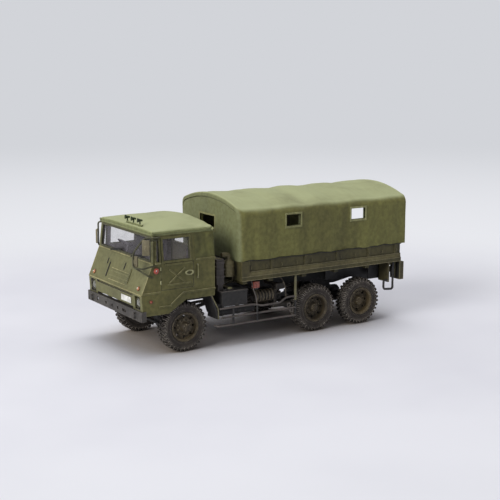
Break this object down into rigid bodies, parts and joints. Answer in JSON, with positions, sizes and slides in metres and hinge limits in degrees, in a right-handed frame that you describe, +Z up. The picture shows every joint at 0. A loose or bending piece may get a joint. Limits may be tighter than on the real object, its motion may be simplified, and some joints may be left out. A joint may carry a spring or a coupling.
{
  "type": "scale model military cargo truck",
  "caption": "Static scale model of a forward-control army cargo truck with a covered bed, free-rolling wheels and open frame.",
  "frame": {"origin": "on the ground, midway between the ends and sides of the model's box", "axes": "+Z up, the truck faces -Y, +X is the truck's left, +Y runs along its length to the rear"},
  "size_m": [0.038, 0.0926, 0.0419],
  "materials": {
    "amber_lens": "painted amber lens",
    "bed_olive": "matt dark olive paint",
    "box_grey": "bare dark grey plastic",
    "bracket_olive": "matt olive paint",
    "bumper_grey": "dark grey paint with worn edges",
    "cab_olive": "matt olive paint",
    "canopy_olive": "matt olive paint over moulded folds",
    "chassis_black": "matt near-black paint",
    "clear_glazing": "clear moulded glazing",
    "interior_grey": "bare grey plastic",
    "lamp_green": "dark green paint",
    "lamp_lens": "clear lens",
    "plate_white": "blank white plate",
    "roof_olive": "matt pale olive paint",
    "trim_dark": "dark olive paint",
    "tyre_rubber": "matt moulded black",
    "wheel_olive": "matt dark olive paint"
  },
  "bodies": {
    "truck": {"air_cleaner": "bracket_olive", "back_glass": "clear_glazing", "battery_box": "chassis_black", "bed_floor": "bed_olive", "bed_front": "bed_olive", "bed_side_left": "bed_olive", "bed_side_right": "bed_olive", "cab_back": "cab_olive", "cab_floor": "interior_grey", "cab_front": "cab_olive", "cab_roof": "roof_olive", "cab_side_left": "cab_olive", "cab_side_right": "cab_olive", "canopy": "canopy_olive", "canopy_hoops": "bracket_olive", "chassis_frame": "chassis_black", "dashboard": "interior_grey", "drive_shafts": "chassis_black", "engine_block": "chassis_black", "front_axle": "chassis_black", "front_bumper": "bumper_grey", "front_mudflaps": "bracket_olive", "front_springs": "chassis_black", "fuel_tank": "chassis_black", "headlamps": "lamp_lens", "locker": "box_grey", "marker_box": "amber_lens", "mid_axle": "chassis_black", "mirrors": "trim_dark", "muffler": "chassis_black", "number_plate": "plate_white", "rear_axle": "chassis_black", "rear_mudflaps": "bracket_olive", "rear_springs": "chassis_black", "rear_steps": "chassis_black", "roof_lamps": "lamp_green", "seats": "interior_grey", "side_glass": "clear_glazing", "side_guards": "chassis_black", "steering_wheel": "interior_grey", "tail_lamps": "bracket_olive", "tailgate": "bed_olive", "tow_pintle": "chassis_black", "turn_lamps": "amber_lens", "windscreen_glass": "clear_glazing", "wipers": "trim_dark"},
    "front_left_wheel": {"tyre_front_left": "tyre_rubber", "wheel_front_left": "wheel_olive"},
    "front_right_wheel": {"tyre_front_right": "tyre_rubber", "wheel_front_right": "wheel_olive"},
    "mid_left_wheel": {"tyre_mid_left": "tyre_rubber", "wheel_mid_left": "wheel_olive"},
    "mid_right_wheel": {"tyre_mid_right": "tyre_rubber", "wheel_mid_right": "wheel_olive"},
    "rear_left_wheel": {"tyre_rear_left": "tyre_rubber", "wheel_rear_left": "wheel_olive"},
    "rear_right_wheel": {"tyre_rear_right": "tyre_rubber", "wheel_rear_right": "wheel_olive"}
  },
  "joints": [
    {"name": "front_left_spin", "type": "hinge", "parent": "truck", "child": "front_left_wheel", "pos_m": [0.01345, -0.03104, 0.00708], "axis": [1, 0, 0], "continuous": true},
    {"name": "front_right_spin", "type": "hinge", "parent": "truck", "child": "front_right_wheel", "pos_m": [-0.01345, -0.03104, 0.00708], "axis": [1, 0, 0], "continuous": true},
    {"name": "mid_left_spin", "type": "hinge", "parent": "truck", "child": "mid_left_wheel", "pos_m": [0.01425, 0.01299, 0.00708], "axis": [1, 0, 0], "continuous": true},
    {"name": "mid_right_spin", "type": "hinge", "parent": "truck", "child": "mid_right_wheel", "pos_m": [-0.01425, 0.01299, 0.00708], "axis": [1, 0, 0], "continuous": true},
    {"name": "rear_left_spin", "type": "hinge", "parent": "truck", "child": "rear_left_wheel", "pos_m": [0.01425, 0.02993, 0.00708], "axis": [1, 0, 0], "continuous": true},
    {"name": "rear_right_spin", "type": "hinge", "parent": "truck", "child": "rear_right_wheel", "pos_m": [-0.01425, 0.02993, 0.00708], "axis": [1, 0, 0], "continuous": true}
  ]
}
